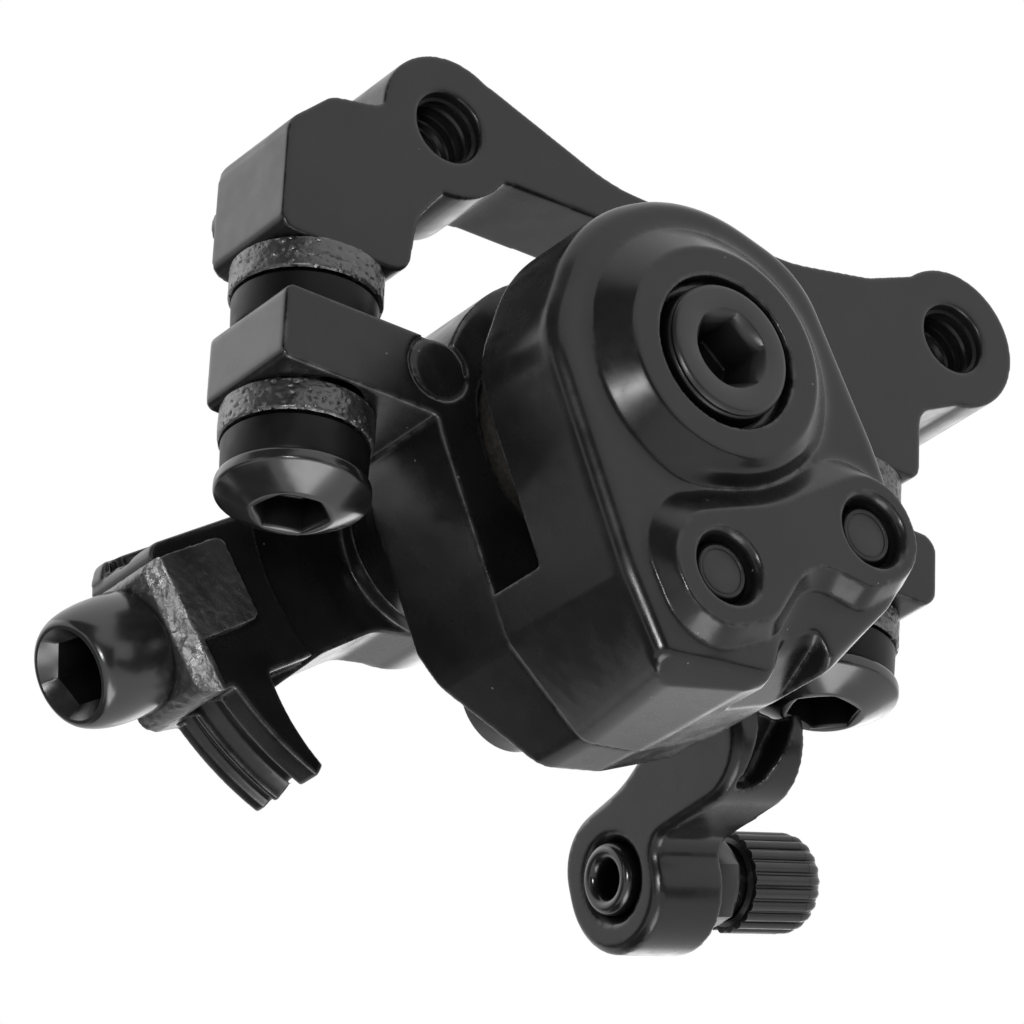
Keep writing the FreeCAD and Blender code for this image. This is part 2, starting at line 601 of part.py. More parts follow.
# Cable clamp: an angled plate with a front flange, under a domed bolt.
clamp_t = 1.8
clamp_top = clamp_seat + clamp_t
flange_front = arm_y - 0.4 - clamp_t
clamp = join([plate([(clamp_seat, 5.7, 0.8), (clamp_top, 5.7, 0.8), (clamp_top, -5.8, 1.6),
                     (clamp_seat, -5.8, 0)], on_arm, flange_front, arm_back_y - 1.4),
              plate([(clamp_top - 7.8, 5.7, 0.8), (clamp_top, 5.7, 0.8), (clamp_top, -1.6, 0),
                     (clamp_top - 7.8, -1.4, 0.8)], on_arm, flange_front, arm_y - 0.4)])
clamp = clamp.cut(rod(clamp_r + 0.1, clamp_line + out * (clamp_seat - 1), clamp_line + out * (clamp_top + 1)))
save("cable_clamp_plate", clamp)
dome_r = 5.0
dome_len = 6.6
dome_profile = [(0, -clamp_t - 6.6), (clamp_r, -clamp_t - 6.6), (clamp_r, 0), (dome_r - 0.4, 0),
                (dome_r, 0.5), (dome_r, 4.2, 5.0), (dome_r - 1.15, dome_len), (0, dome_len)]
dome_bolt = turned(dome_profile, clamp_line + out * clamp_top, out)
crown = clamp_line + out * (clamp_top + dome_len)
dome_bolt = dome_bolt.cut(hexagon(key_af, crown - out * 5.0, crown + out))
dome_bolt = dome_bolt.cut(cone(2.6, 3.55, crown - out * 1.0, crown + out * 0.001))
save("cable_clamp_bolt", dome_bolt)

# Barrel adjuster: a hollow screw with a knurled head, and its locknut.
cable_bore = 1.1
seat_r = 2.6
seat_len = 6.0
barrel_gap = 0.04
barrel = turned([(0, tip_run), (barrel_thread_r - barrel_gap, tip_run, 0.6),
                 (barrel_thread_r - barrel_gap, knurl_run), (knurl_r, knurl_run, 0.5),
                 (knurl_r, barrel_end, 1.4), (0, barrel_end)], on_cable(0), cable_way * -1)
barrel = barrel.cut(rod(cable_bore, on_cable(tip_run - 1), on_cable(barrel_end + 1)))
barrel = barrel.cut(rod(seat_r, on_cable(barrel_end - seat_len), on_cable(barrel_end + 1)))
barrel = barrel.cut(rod(cable_bore + 0.9, on_cable(tip_run - 1), on_cable(tip_run + 3.0)))
save("barrel_adjuster", barrel)
locknut = hexagon(nut_af, on_cable(stop_back), on_cable(stop_back + nut_t), math.radians(30))
locknut = locknut.cut(rod(barrel_thread_r, on_cable(stop_back - 1), on_cable(knurl_run)))
save("barrel_locknut", locknut)
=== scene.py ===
import bmesh
import bpy
import json
import math
from mathutils import Matrix, Vector, noise


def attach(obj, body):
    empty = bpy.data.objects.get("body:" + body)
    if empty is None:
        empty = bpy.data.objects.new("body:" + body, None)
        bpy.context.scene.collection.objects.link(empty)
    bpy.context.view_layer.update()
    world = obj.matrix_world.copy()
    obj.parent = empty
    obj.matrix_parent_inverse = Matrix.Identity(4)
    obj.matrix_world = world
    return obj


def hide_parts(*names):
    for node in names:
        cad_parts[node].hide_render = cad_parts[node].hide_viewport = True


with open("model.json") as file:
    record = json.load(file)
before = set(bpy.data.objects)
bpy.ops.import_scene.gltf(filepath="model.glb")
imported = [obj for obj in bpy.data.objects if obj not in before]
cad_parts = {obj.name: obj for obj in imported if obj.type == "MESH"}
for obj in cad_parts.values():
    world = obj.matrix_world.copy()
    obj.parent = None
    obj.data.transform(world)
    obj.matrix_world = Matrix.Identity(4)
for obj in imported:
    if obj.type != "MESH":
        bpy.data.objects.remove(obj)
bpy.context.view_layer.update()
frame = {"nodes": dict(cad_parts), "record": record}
nodes = frame["nodes"]
perMetre = 1000


# Millimetres to metres: a single number, or a place or way from three.
def mm(*values):
    return Vector(value / perMetre for value in values) if len(values) > 1 else values[0] / perMetre


# Lines that several pieces share, in the part's own frame.
actuator = {"place": mm(-12.3, 0, -24.4), "way": Vector((0, 1, 0))}
bodyLean = math.radians(30)
cableSlope = math.radians(16)
cable = {"way": Vector((math.cos(cableSlope), 0, math.sin(cableSlope))),
         "down": Vector((math.sin(cableSlope), 0, -math.cos(cableSlope))), "offset": 26.8, "y": 13.5}
clampAngle = math.radians(215)
clampWay = Vector((math.cos(clampAngle), 0, math.sin(clampAngle)))
boltPlaces = [mm(-34.6, -5.0, 0), mm(16.4, -5.0, 0)]
bodyBoltSpots = [(16.0, -7.8), (16.0, 7.8)]
up = Vector((0, 0, 1))


# s runs down the body's own leaning line from the actuator axis, t across it.
def onBody(s, t, y):
    across = s * math.sin(bodyLean) + t * math.cos(bodyLean)
    down = s * math.cos(bodyLean) - t * math.sin(bodyLean)
    return actuator["place"] + mm(across, y, -down)


def onCable(run):
    base = actuator["place"] + mm(0, cable["y"], 0)
    return base + cable["down"] * mm(cable["offset"]) + cable["way"] * mm(run)


def addObject(name, data):
    thing = bpy.data.objects.new(name, data)
    bpy.context.scene.collection.objects.link(thing)
    return thing


def link(tree, source, target):
    tree.links.new(source, target)


# A socket takes either another node's output or a plain value.
def feed(tree, value, socket):
    if isinstance(value, bpy.types.NodeSocket):
        link(tree, value, socket)
    else:
        socket.default_value = value


def objectPlace(tree):
    return tree.nodes.new("ShaderNodeTexCoord").outputs["Object"]


def mathNode(tree, operation, a, b):
    node = tree.nodes.new("ShaderNodeMath")
    node.operation = operation
    feed(tree, a, node.inputs[0])
    feed(tree, b, node.inputs[1])
    return node.outputs[0]


def noiseNode(tree, vector, scale, detail=3.0, roughness=0.55):
    node = tree.nodes.new("ShaderNodeTexNoise")
    node.inputs["Detail"].default_value = detail
    node.inputs["Roughness"].default_value = roughness
    feed(tree, scale, node.inputs["Scale"])
    link(tree, vector, node.inputs["Vector"])
    return node.outputs["Fac"]


def mapRange(tree, value, low, high, toLow=0.0, toHigh=1.0, smooth=True):
    node = tree.nodes.new("ShaderNodeMapRange")
    node.interpolation_type = "SMOOTHSTEP" if smooth else "LINEAR"
    for name, number in (("From Min", low), ("From Max", high), ("To Min", toLow), ("To Max", toHigh)):
        feed(tree, number, node.inputs[name])
    link(tree, value, node.inputs["Value"])
    return node.outputs["Result"]


def mixColor(tree, factor, a, b):
    node = tree.nodes.new("ShaderNodeMix")
    node.data_type = "RGBA"
    link(tree, factor, node.inputs["Factor"])
    for name, value in (("A", a), ("B", b)):
        socket = [s for s in node.inputs if s.name == name and s.type == "RGBA"][0]
        feed(tree, (*value, 1) if isinstance(value, tuple) else value, socket)
    return [s for s in node.outputs if s.type == "RGBA"][0]


def newShaderGroup(name, inputs, outputs):
    group = bpy.data.node_groups.new(name, "ShaderNodeTree")
    for label, value in inputs:
        socket = group.interface.new_socket(label, in_out="INPUT", socket_type="NodeSocketFloat")
        socket.default_value = value
    for label in outputs:
        group.interface.new_socket(label, in_out="OUTPUT", socket_type="NodeSocketFloat")
    return group, group.nodes.new("NodeGroupInput"), group.nodes.new("NodeGroupOutput")


# Each pair of limits is the span of noise over which a mask fades in; scales are in waves per metre. The hollow
# shade specular is the reflection level left in the painted shade of sockets and gaps.
grain = {"breakLimits": (0.36, 0.62), "toneScale": 160.0, "toneLimits": (0.35, 0.65), "roughScale": 420.0,
         "roughLimits": (0.3, 0.7), "detail": 4.0, "samples": 4, "hollowShadeSpecular": 0.04}


# Worn or thinly painted edges, and painted highlights along them: where the surface bends sharply, broken up by
# noise.
def makeEdgeWearAndHighlight():
    group, start, end = newShaderGroup("edgeWearAndHighlight", [
        ("Width", mm(0.4)), ("Start", 0.02), ("End", 0.12), ("Break Scale", 900.0), ("Amount", 1.0)], ["Mask"])
    bevel = group.nodes.new("ShaderNodeBevel")
    bevel.samples = grain["samples"]
    link(group, start.outputs["Width"], bevel.inputs["Radius"])
    flat = group.nodes.new("ShaderNodeNewGeometry").outputs["Normal"]
    dot = group.nodes.new("ShaderNodeVectorMath")
    dot.operation = "DOT_PRODUCT"
    link(group, bevel.outputs[0], dot.inputs[0])
    link(group, flat, dot.inputs[1])
    bend = mathNode(group, "SUBTRACT", 1.0, dot.outputs["Value"])
    edge = mapRange(group, bend, start.outputs["Start"], start.outputs["End"])
    patches = noiseNode(group, objectPlace(group), start.outputs["Break Scale"])
    broken = mapRange(group, patches, *grain["breakLimits"])
    mask = mathNode(group, "MULTIPLY", mathNode(group, "MULTIPLY", edge, broken), start.outputs["Amount"])
    link(group, mask, end.inputs["Mask"])
    return group


# The slow lumps and fine pits of a casting under its paint.
def makeCastSkin():
    group, start, end = newShaderGroup("castSkin", [
        ("Lump Scale", 260.0), ("Lump Height", 1.0), ("Pit Scale", 1500.0), ("Pit Height", 0.3)], ["Height"])
    place = objectPlace(group)
    lumps = noiseNode(group, place, start.outputs["Lump Scale"], detail=2.0, roughness=0.45)
    pits = noiseNode(group, place, start.outputs["Pit Scale"], detail=3.0, roughness=0.6)
    height = mathNode(group, "ADD", mathNode(group, "MULTIPLY", lumps, start.outputs["Lump Height"]),
                      mathNode(group, "MULTIPLY", pits, start.outputs["Pit Height"]))
    link(group, height, end.inputs["Height"])
    return group


# Sparse specks of dust: a share of the cells carries a dot.
def makeDust():
    group, start, end = newShaderGroup("dustSpecks", [
        ("Scale", 900.0), ("Size", 0.07), ("Share", 0.2)], ["Mask"])
    cells = group.nodes.new("ShaderNodeTexVoronoi")
    link(group, objectPlace(group), cells.inputs["Vector"])
    link(group, start.outputs["Scale"], cells.inputs["Scale"])
    speck = mathNode(group, "LESS_THAN", cells.outputs["Distance"], start.outputs["Size"])
    split = group.nodes.new("ShaderNodeSeparateColor")
    link(group, cells.outputs["Color"], split.inputs[0])
    chosen = mathNode(group, "LESS_THAN", split.outputs[0], start.outputs["Share"])
    link(group, mathNode(group, "MULTIPLY", speck, chosen), end.inputs["Mask"])
    return group


# Painted shade: how open the surface is, by ambient occlusion; sockets and narrow gaps come out near 0, and
# there the materials darken colour and reflection.
def makeHollowShade():
    group, start, end = newShaderGroup("hollowShade", [
        ("Reach", mm(4.0)), ("Closed", 0.25), ("Open", 0.75)], ["Mask"])
    hidden = group.nodes.new("ShaderNodeAmbientOcclusion")
    hidden.samples = grain["samples"]
    link(group, start.outputs["Reach"], hidden.inputs["Distance"])
    openness = mapRange(group, hidden.outputs["AO"], start.outputs["Closed"], start.outputs["Open"])
    link(group, openness, end.inputs["Mask"])
    return group


sharedGroups = {"edgeWearAndHighlight": makeEdgeWearAndHighlight(), "castSkin": makeCastSkin(), "dust": makeDust(),
                "hollowShade": makeHollowShade()}
print("shader groups made:", len(sharedGroups))


def addGroup(tree, name, values):
    node = tree.nodes.new("ShaderNodeGroup")
    node.node_tree = sharedGroups[name]
    for key, value in values.items():
        node.inputs[key].default_value = value
    return node


# Two colours and two roughnesses in slow patches, then edge wear that is partly a painted highlight, dust,
# painted shade in hollows and the bump of the skin.
def finishMaterial(name, look):
    material = bpy.data.materials.new(name)
    material.use_nodes = True
    tree = material.node_tree
    shader = tree.nodes["Principled BSDF"]
    place = objectPlace(tree)
    skin = addGroup(tree, "castSkin", look["skin"])
    tonePatches = noiseNode(tree, place, look.get("toneScale", grain["toneScale"]), grain["detail"])
    color = mixColor(tree, mapRange(tree, tonePatches, *grain["toneLimits"]), look["color"], look["colorB"])
    roughPatches = noiseNode(tree, place, grain["roughScale"], grain["detail"])
    rough = mapRange(tree, roughPatches, *grain["roughLimits"], *look["rough"])
    # Edges partly worn and partly a painted highlight: a lighter, metallic colour along sharp edges stands in
    # for glints.
    if "wearAndHighlight" in look:
        wearAndHighlight = addGroup(tree, "edgeWearAndHighlight", look["wearAndHighlight"])
        color = mixColor(tree, wearAndHighlight.outputs["Mask"], color, look["wearAndHighlightColor"])
        rough = mapRange(tree, wearAndHighlight.outputs["Mask"], 0.0, 1.0, rough, look["wearAndHighlightRough"], smooth=False)
        link(tree, wearAndHighlight.outputs["Mask"], shader.inputs["Metallic"])
    else:
        shader.inputs["Metallic"].default_value = look.get("metallic", 0.0)
    if "dust" in look:
        dust = addGroup(tree, "dust", look["dust"])
        color = mixColor(tree, dust.outputs["Mask"], color, look["dustColor"])
    shader.inputs["Specular IOR Level"].default_value = look.get("specular", 0.5)
    # Painted shade: where the hollow mask is closed, the colour goes to the dark hollow colour and the specular
    # level drops.
    if "hollowShade" in look:
        openness = addGroup(tree, "hollowShade", look["hollowShade"]).outputs["Mask"]
        color = mixColor(tree, openness, look["hollowShadeColor"], color)
        shine = mapRange(tree, openness, 0.0, 1.0, grain["hollowShadeSpecular"], look["specular"], smooth=False)
        link(tree, shine, shader.inputs["Specular IOR Level"])
    link(tree, color, shader.inputs["Base Color"])
    link(tree, rough, shader.inputs["Roughness"])
    bump = tree.nodes.new("ShaderNodeBump")
    bump.inputs["Distance"].default_value = look["bump"]
    bump.inputs["Strength"].default_value = look.get("bumpStrength", 0.5)
    link(tree, skin.outputs["Height"], bump.inputs["Height"])
    link(tree, bump.outputs["Normal"], shader.inputs["Normal"])
    return material


# Limits of the painted shade in sockets and narrow gaps.
hollowShadeLimits = {"Reach": mm(4.0), "Closed": 0.4, "Open": 0.9}
# The lighter edge colours below are partly wear and partly painted highlight; the hollow colours are painted
# shade.
looks = {
    "blackPaint": {"color": (0.006, 0.006, 0.0062), "colorB": (0.009, 0.009, 0.0093), "rough": (0.2, 0.3),
                   "specular": 0.45, "bump": mm(0.02), "bumpStrength": 0.35,
                   "skin": {"Lump Scale": 420.0, "Lump Height": 1.0, "Pit Scale": 2600.0, "Pit Height": 0.18},
                   "dust": {"Scale": 700.0, "Size": 0.06, "Share": 0.12}, "dustColor": (0.13, 0.13, 0.13),
                   "wearAndHighlight": {"Width": mm(0.5), "Start": 0.01, "End": 0.06, "Break Scale": 800.0, "Amount": 0.45},
                   "wearAndHighlightColor": (0.25, 0.25, 0.25), "wearAndHighlightRough": 0.25},
    "machinedPaint": {"color": (0.007, 0.007, 0.0073), "colorB": (0.010, 0.010, 0.0104), "rough": (0.26, 0.36),
                      "specular": 0.45, "bump": mm(0.012), "bumpStrength": 0.3,
                      "skin": {"Lump Scale": 900.0, "Lump Height": 0.6, "Pit Scale": 4200.0, "Pit Height": 0.4},
                      "dust": {"Scale": 600.0, "Size": 0.05, "Share": 0.04}, "dustColor": (0.1, 0.1, 0.1),
                      "wearAndHighlight": {"Width": mm(0.45), "Start": 0.02, "End": 0.12, "Break Scale": 800.0,
                               "Amount": 0.25},
                      "wearAndHighlightColor": (0.25, 0.25, 0.25), "wearAndHighlightRough": 0.3},
    "roughCast": {"color": (0.014, 0.014, 0.014), "colorB": (0.035, 0.035, 0.035), "rough": (0.25, 0.4),
                  "specular": 1.2, "bump": mm(0.1), "bumpStrength": 0.7,
                  "skin": {"Lump Scale": 1300.0, "Lump Height": 1.0, "Pit Scale": 4200.0, "Pit Height": 0.5},
                  "wearAndHighlight": {"Width": mm(0.3), "Start": 0.05, "End": 0.2, "Break Scale": 900.0, "Amount": 0.7},
                  "wearAndHighlightColor": (0.5, 0.5, 0.5), "wearAndHighlightRough": 0.35},
    "blackBolt": {"color": (0.008, 0.008, 0.0085), "colorB": (0.013, 0.013, 0.0135), "rough": (0.15, 0.27),
                  "specular": 0.8, "bump": mm(0.006), "bumpStrength": 0.3,
                  "hollowShade": hollowShadeLimits, "hollowShadeColor": (0.002, 0.002, 0.002),
                  "skin": {"Lump Scale": 700.0, "Lump Height": 1.0, "Pit Scale": 3800.0, "Pit Height": 0.3},
                  "wearAndHighlight": {"Width": mm(0.15), "Start": 0.04, "End": 0.3, "Break Scale": 1200.0, "Amount": 0.35},
                  "wearAndHighlightColor": (0.3, 0.3, 0.31), "wearAndHighlightRough": 0.3},
    "satinBlack": {"color": (0.012, 0.012, 0.0125), "colorB": (0.018, 0.018, 0.0185), "rough": (0.3, 0.42),
                   "specular": 0.55, "bump": mm(0.01), "bumpStrength": 0.4,
                   "hollowShade": hollowShadeLimits, "hollowShadeColor": (0.002, 0.002, 0.002),
                   "skin": {"Lump Scale": 900.0, "Lump Height": 1.0, "Pit Scale": 3800.0, "Pit Height": 0.6},
                   "wearAndHighlight": {"Width": mm(0.15), "Start": 0.04, "End": 0.3, "Break Scale": 1500.0, "Amount": 0.4},
                   "wearAndHighlightColor": (0.25, 0.25, 0.255), "wearAndHighlightRough": 0.35},
    # Partly painted shade: the dome washers get this darker, less glossy black in place of the shade on them;
    # the threads use it too.
    "dullBlackAndPaintedShade": {"color": (0.004, 0.004, 0.004), "colorB": (0.008, 0.008, 0.008), "rough": (0.3, 0.45),
                  "specular": 0.2, "bump": mm(0.02), "bumpStrength": 0.4,
                  "skin": {"Lump Scale": 700.0, "Lump Height": 1.0, "Pit Scale": 2600.0, "Pit Height": 0.5}},
    "plainSteel": {"color": (0.38, 0.38, 0.39), "colorB": (0.46, 0.46, 0.47), "rough": (0.24, 0.36),
                   "metallic": 1.0, "bump": mm(0.01),
                   "skin": {"Lump Scale": 1500.0, "Lump Height": 0.6, "Pit Scale": 5000.0, "Pit Height": 0.5}},
    "padLining": {"color": (0.012, 0.011, 0.010), "colorB": (0.03, 0.027, 0.024), "rough": (0.75, 0.95),
                  "toneScale": 2200.0, "bump": mm(0.08),
                  "skin": {"Lump Scale": 2200.0, "Lump Height": 1.0, "Pit Scale": 5200.0, "Pit Height": 0.6}},
    "blackRubber": {"color": (0.012, 0.012, 0.012), "colorB": (0.02, 0.02, 0.02), "rough": (0.5, 0.7),
                    "bump": mm(0.02),
                    "skin": {"Lump Scale": 900.0, "Lump Height": 1.0, "Pit Scale": 3000.0, "Pit Height": 0.4}},
    "bronze": {"color": (0.42, 0.27, 0.12), "colorB": (0.5, 0.33, 0.16), "rough": (0.3, 0.45),
               "metallic": 1.0, "bump": mm(0.01),
               "skin": {"Lump Scale": 2000.0, "Lump Height": 0.5, "Pit Scale": 5000.0, "Pit Height": 0.8}},
    "nylon": {"color": (0.55, 0.53, 0.46), "colorB": (0.6, 0.58, 0.5), "rough": (0.4, 0.55),
              "bump": mm(0.01),
              "skin": {"Lump Scale": 800.0, "Lump Height": 1.0, "Pit Scale": 3000.0, "Pit Height": 0.3}},
}
finishes = {name: finishMaterial(name, look) for name, look in looks.items()}
slotFinish = {"black_paint": "blackPaint", "washer_finish": "roughCast", "black_bolt": "blackBolt",
              "dark_steel": "blackBolt", "steel": "plainSteel", "bronze": "bronze", "lining": "padLining",
              "rubber": "blackRubber", "nylon": "nylon"}
nodeSlot = {row["node"]: row["material_slot"] for row in frame["record"]["subparts"]}
nodeBody = {name: body for body, members in frame["record"]["behaviour"]["bodies"].items() for name in members}
for name, node in nodes.items():
    node.data.materials.clear()
    node.data.materials.append(finishes[slotFinish[nodeSlot[name]]])
print("materials made:", len(finishes))


def addPiece(name, mesh, finish, node=None, body=None):
    piece = addObject(name, mesh)
    mesh.materials.clear()
    mesh.materials.append(finishes[finish])
    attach(piece, body or nodeBody[node])
    if node:
        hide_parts(node)
    return piece


def evaluated(piece, name):
    graph = bpy.context.evaluated_depsgraph_get()
    mesh = bpy.data.meshes.new_from_object(piece.evaluated_get(graph))
    mesh.name = name
    return mesh


# Moves each point along its normal by noise of two sizes; dents go deeper than bumps rise.
def roughen(mesh, rough):
    normals = [vertex.normal.copy() for vertex in mesh.vertices]
    for vertex, normal in zip(mesh.vertices, normals):
        place = vertex.co * perMetre
        lump = noise.noise(place * rough["lumpScale"]) * rough["lump"]
        pit = min(0.0, noise.noise(place * rough["pitScale"]) + rough["pitLimit"]) * rough["pit"]
        vertex.co += normal * mm(lump + pit - rough["lump"] * 0.5)


# Flattens whatever lies beyond a plane onto it, for bevels that only the dressed piece has.
def shave(mesh, point, normal):
    for vertex in mesh.vertices:
        beyond = (vertex.co - point).dot(normal)
        if beyond > 0:
            vertex.co -= normal * beyond


gridWork = {"weld": 0.002, "smoothing": 0.5}


def smoothModifier(work, name, rounds):
    modifier = work.modifiers.new(name, "SMOOTH")
    modifier.factor = gridWork["smoothing"]
    modifier.iterations = rounds
    return modifier


# A casting's copy: rebuilt on a fine grid so that its edges can be rounded, then thinned.
def castPiece(node, cast):
    work = addObject(node + "_work", nodes[node].data.copy())
    weld = work.modifiers.new("weld", "WELD")
    weld.merge_threshold = mm(gridWork["weld"])
    grid = work.modifiers.new("grid", "REMESH")
    grid.mode = "VOXEL"
    grid.voxel_size = mm(cast["voxel"])
    dense = evaluated(work, node + "_dense")
    work.modifiers.clear()
    work.data = dense
    if "relief" in cast:
        cast["relief"](work)
        smoothModifier(work, "rounder", cast["rounding"]).vertex_group = "round"
    smoothModifier(work, "soften", cast["smooth"])
    thin = work.modifiers.new("thin", "DECIMATE")
    thin.ratio = cast["share"]
    built = evaluated(work, node + "_skin")
    bpy.data.objects.remove(work)
    for point, normal in cast.get("bevels", []):
        shave(built, point, normal)
    if "rough" in cast:
        roughen(built, cast["rough"])
    built.shade_smooth()
    print(node, "triangles", sum(len(face.vertices) - 2 for face in built.polygons))
    addPiece(node + "_skin", built, cast["finish"], node)


# Heights along y of the cover's rim and boss, then radii round the actuator axis and limits of the reshaping.
coverFace = {"rim": -27.2, "boss": -29.6, "bossIn": 8.6, "bossOut": 11.3, "core": 7.0, "pastBoss": 0.2,
             "padGain": 1.45, "padFrom": 8.8, "padFade": 1.0, "padInner": 10.4, "padOuter": 12.0,
             "depth": 1.7, "aboveRim": 0.3, "facing": -0.15, "roundFrom": 0.15, "clear": 3.4}


def ramp(value, low, high):
    share = min(1.0, max(0.0, (value - low) / (high - low)))
    return share * share * (3 - 2 * share)


# The cover's front: a boss with a wide slope, a taller bolt pad, and a rim that is rounded, not bevelled.
def coverRelief(work):
    shape = coverFace
    rim = shape["rim"]
    rimGroup = work.vertex_groups.new(name="round")
    chosen = []
    facing = [vertex.normal.y for vertex in work.data.vertices]
    for vertex, front in zip(work.data.vertices, facing):
        place = (vertex.co - actuator["place"]) * perMetre
        s = place.x * math.sin(bodyLean) - place.z * math.cos(bodyLean)
        t = place.x * math.cos(bodyLean) + place.z * math.sin(bodyLean)
        reach = math.hypot(s, t)
        if place.y > rim + shape["depth"] or reach < shape["core"]:
            continue
        fromPad = ramp(s, shape["padFrom"] - shape["padFade"], shape["padFrom"] + shape["padFade"])
        outer = front < shape["facing"] and place.y < rim + shape["aboveRim"]
        if outer and reach < shape["bossOut"] + shape["pastBoss"]:
            fallen = (reach - shape["bossIn"]) / (shape["bossOut"] - shape["bossIn"])
            slope = shape["boss"] + (rim - shape["boss"]) * min(1.0, max(0.0, fallen))
            place.y += (slope - place.y) * (1 - fromPad)
        if place.y < rim and s > 0:
            gain = (shape["padGain"] - 1) * ramp(reach, shape["padInner"], shape["padOuter"]) * fromPad
            place.y += (place.y - rim) * gain
        vertex.co.y = mm(place.y)
        nearHole = any(math.hypot(s - a, t - b) < shape["clear"] for a, b in bodyBoltSpots)
        if place.y > rim - shape["roundFrom"] and not nearHole:
            chosen.append(vertex.index)
    rimGroup.add(chosen, 1.0, "REPLACE")


# The clamp plate's outer front edge is bevelled at 45 degrees, from this y on its outer face.
clampPlate = {"outer": 29.4, "bevelY": 8.4}
clampCorner = actuator["place"] + clampWay * mm(clampPlate["outer"]) + mm(0, clampPlate["bevelY"], 0)
clampBevel = (clampWay - actuator["way"]).normalized()
castings = {
    "caliper_body": {"finish": "blackPaint", "voxel": 0.17, "smooth": 14, "share": 0.25},
    "front_cover": {"finish": "blackPaint", "voxel": 0.15, "smooth": 6, "share": 0.3, "relief": coverRelief,
                    "rounding": 80},
    "mount_adapter": {"finish": "machinedPaint", "voxel": 0.17, "smooth": 8, "share": 0.3},
    "actuator_arm": {"finish": "blackPaint", "voxel": 0.12, "smooth": 26, "share": 0.25},
    "cable_clamp_plate": {"finish": "roughCast", "voxel": 0.1, "smooth": 6, "share": 0.6,
                          "bevels": [(clampCorner, clampBevel)],
                          "rough": {"lump": 0.05, "lumpScale": 1.6, "pit": 0.12, "pitScale": 2.4,
                                    "pitLimit": 0.25}},
}
for node, cast in castings.items():
    castPiece(node, cast)


# A turned piece: rings of (radius, distance, hex share); a share of 1 makes a hexagon of that inner radius.
def turnedMesh(name, base, way, rings, sides=96, turn=0.0):
    spin = way.normalized().to_track_quat("Z", "Y").to_matrix()
    verts, faces, loops = [], [], []
    for ring in rings:
        radius, distance = ring[0], ring[1]
        share = ring[2] if len(ring) > 2 else 0.0
        if radius == 0:
            loops.append([len(verts)])
            verts.append(base + spin @ mm(0, 0, distance))
            continue
        loop = []
        for i in range(sides):
            angle = 2 * math.pi * i / sides
            hexRadius = radius / math.cos((angle + math.pi / 6) % (math.pi / 3) - math.pi / 6)
            reach = radius * (1 - share) + hexRadius * share
            across, along = reach * math.cos(angle + turn), reach * math.sin(angle + turn)
            loop.append(len(verts))
            verts.append(base + spin @ mm(across, along, distance))
        loops.append(loop)
    pairs = list(zip(loops, loops[1:]))
    if rings[0][0] != 0:
        pairs.append((loops[-1], loops[0]))
    for inner, outer in pairs:
        for i in range(sides):
            j = (i + 1) % sides
            corners = [inner[i % len(inner)], inner[j % len(inner)],
                       outer[j % len(outer)], outer[i % len(outer)]]
            face = [v for k, v in enumerate(corners) if v not in corners[:k]]
            if len(face) > 2:
                faces.append(face)
    mesh = bpy.data.meshes.new(name)
    mesh.from_pydata(verts, [], faces)
    shape = bmesh.new()
    shape.from_mesh(mesh)
    bmesh.ops.recalc_face_normals(shape, faces=shape.faces)
    shape.to_mesh(mesh)
    shape.free()
    smoothShade(mesh)
    return mesh


def smoothShade(mesh, angle=32):
    mesh.shade_smooth()
    mesh.set_sharp_from_angle(angle=math.radians(angle))


def joined(name, meshes):
    shape = bmesh.new()
    for mesh in meshes:
        shape.from_mesh(mesh)
    whole = bpy.data.meshes.new(name)
    shape.to_mesh(whole)
    shape.free()
    smoothShade(whole)
    return whole


stepShare = 0.35


# Rounds the corners of a ring list by putting a short step on each side of every corner.
def softened(rings, size):
    out = []
    for i, ring in enumerate(rings):
        near = [rings[i - 1] if i else None, rings[i + 1] if i + 1 < len(rings) else None]
        share = ring[2] if len(ring) > 2 else 0.0
        if ring[0] == 0 or None in near:
            out.append(ring)
            continue
        for other in near:
            gap = math.hypot(other[0] - ring[0], other[1] - ring[1])
            step = min(size, gap * stepShare) / gap if gap > 1e-6 else 0
            otherShare = other[2] if len(other) > 2 else 0.0
            out.append((ring[0] + (other[0] - ring[0]) * step, ring[1] + (other[1] - ring[1]) * step,
                        share + (otherShare - share) * step))
    return out


# An arc for a ring list, from one direction to another, in degrees from the piece's own way.
def roundOff(radius, distance, size, start, end, steps=5):
    angles = [math.radians(start + (end - start) * k / steps) for k in range(steps + 1)]
    return [(radius + size * math.sin(a), distance + size * math.cos(a)) for a in angles]


# In the ring lists, the small offsets from a named size are the edge breaks and fillets, in millimetres.
mountBolt = {"baseZ": -35.95, "flange": 6.05, "face": 3.3, "head": 2.65, "edge": 1.1, "shank": 3.0,
             "top": 33.05, "bevel": 0.6, "round": 0.35, "break": 0.12, "key": 2.5, "socket": 3.0, "soft": 0.06,
             "sides": 144, "turns": (12, 40)}


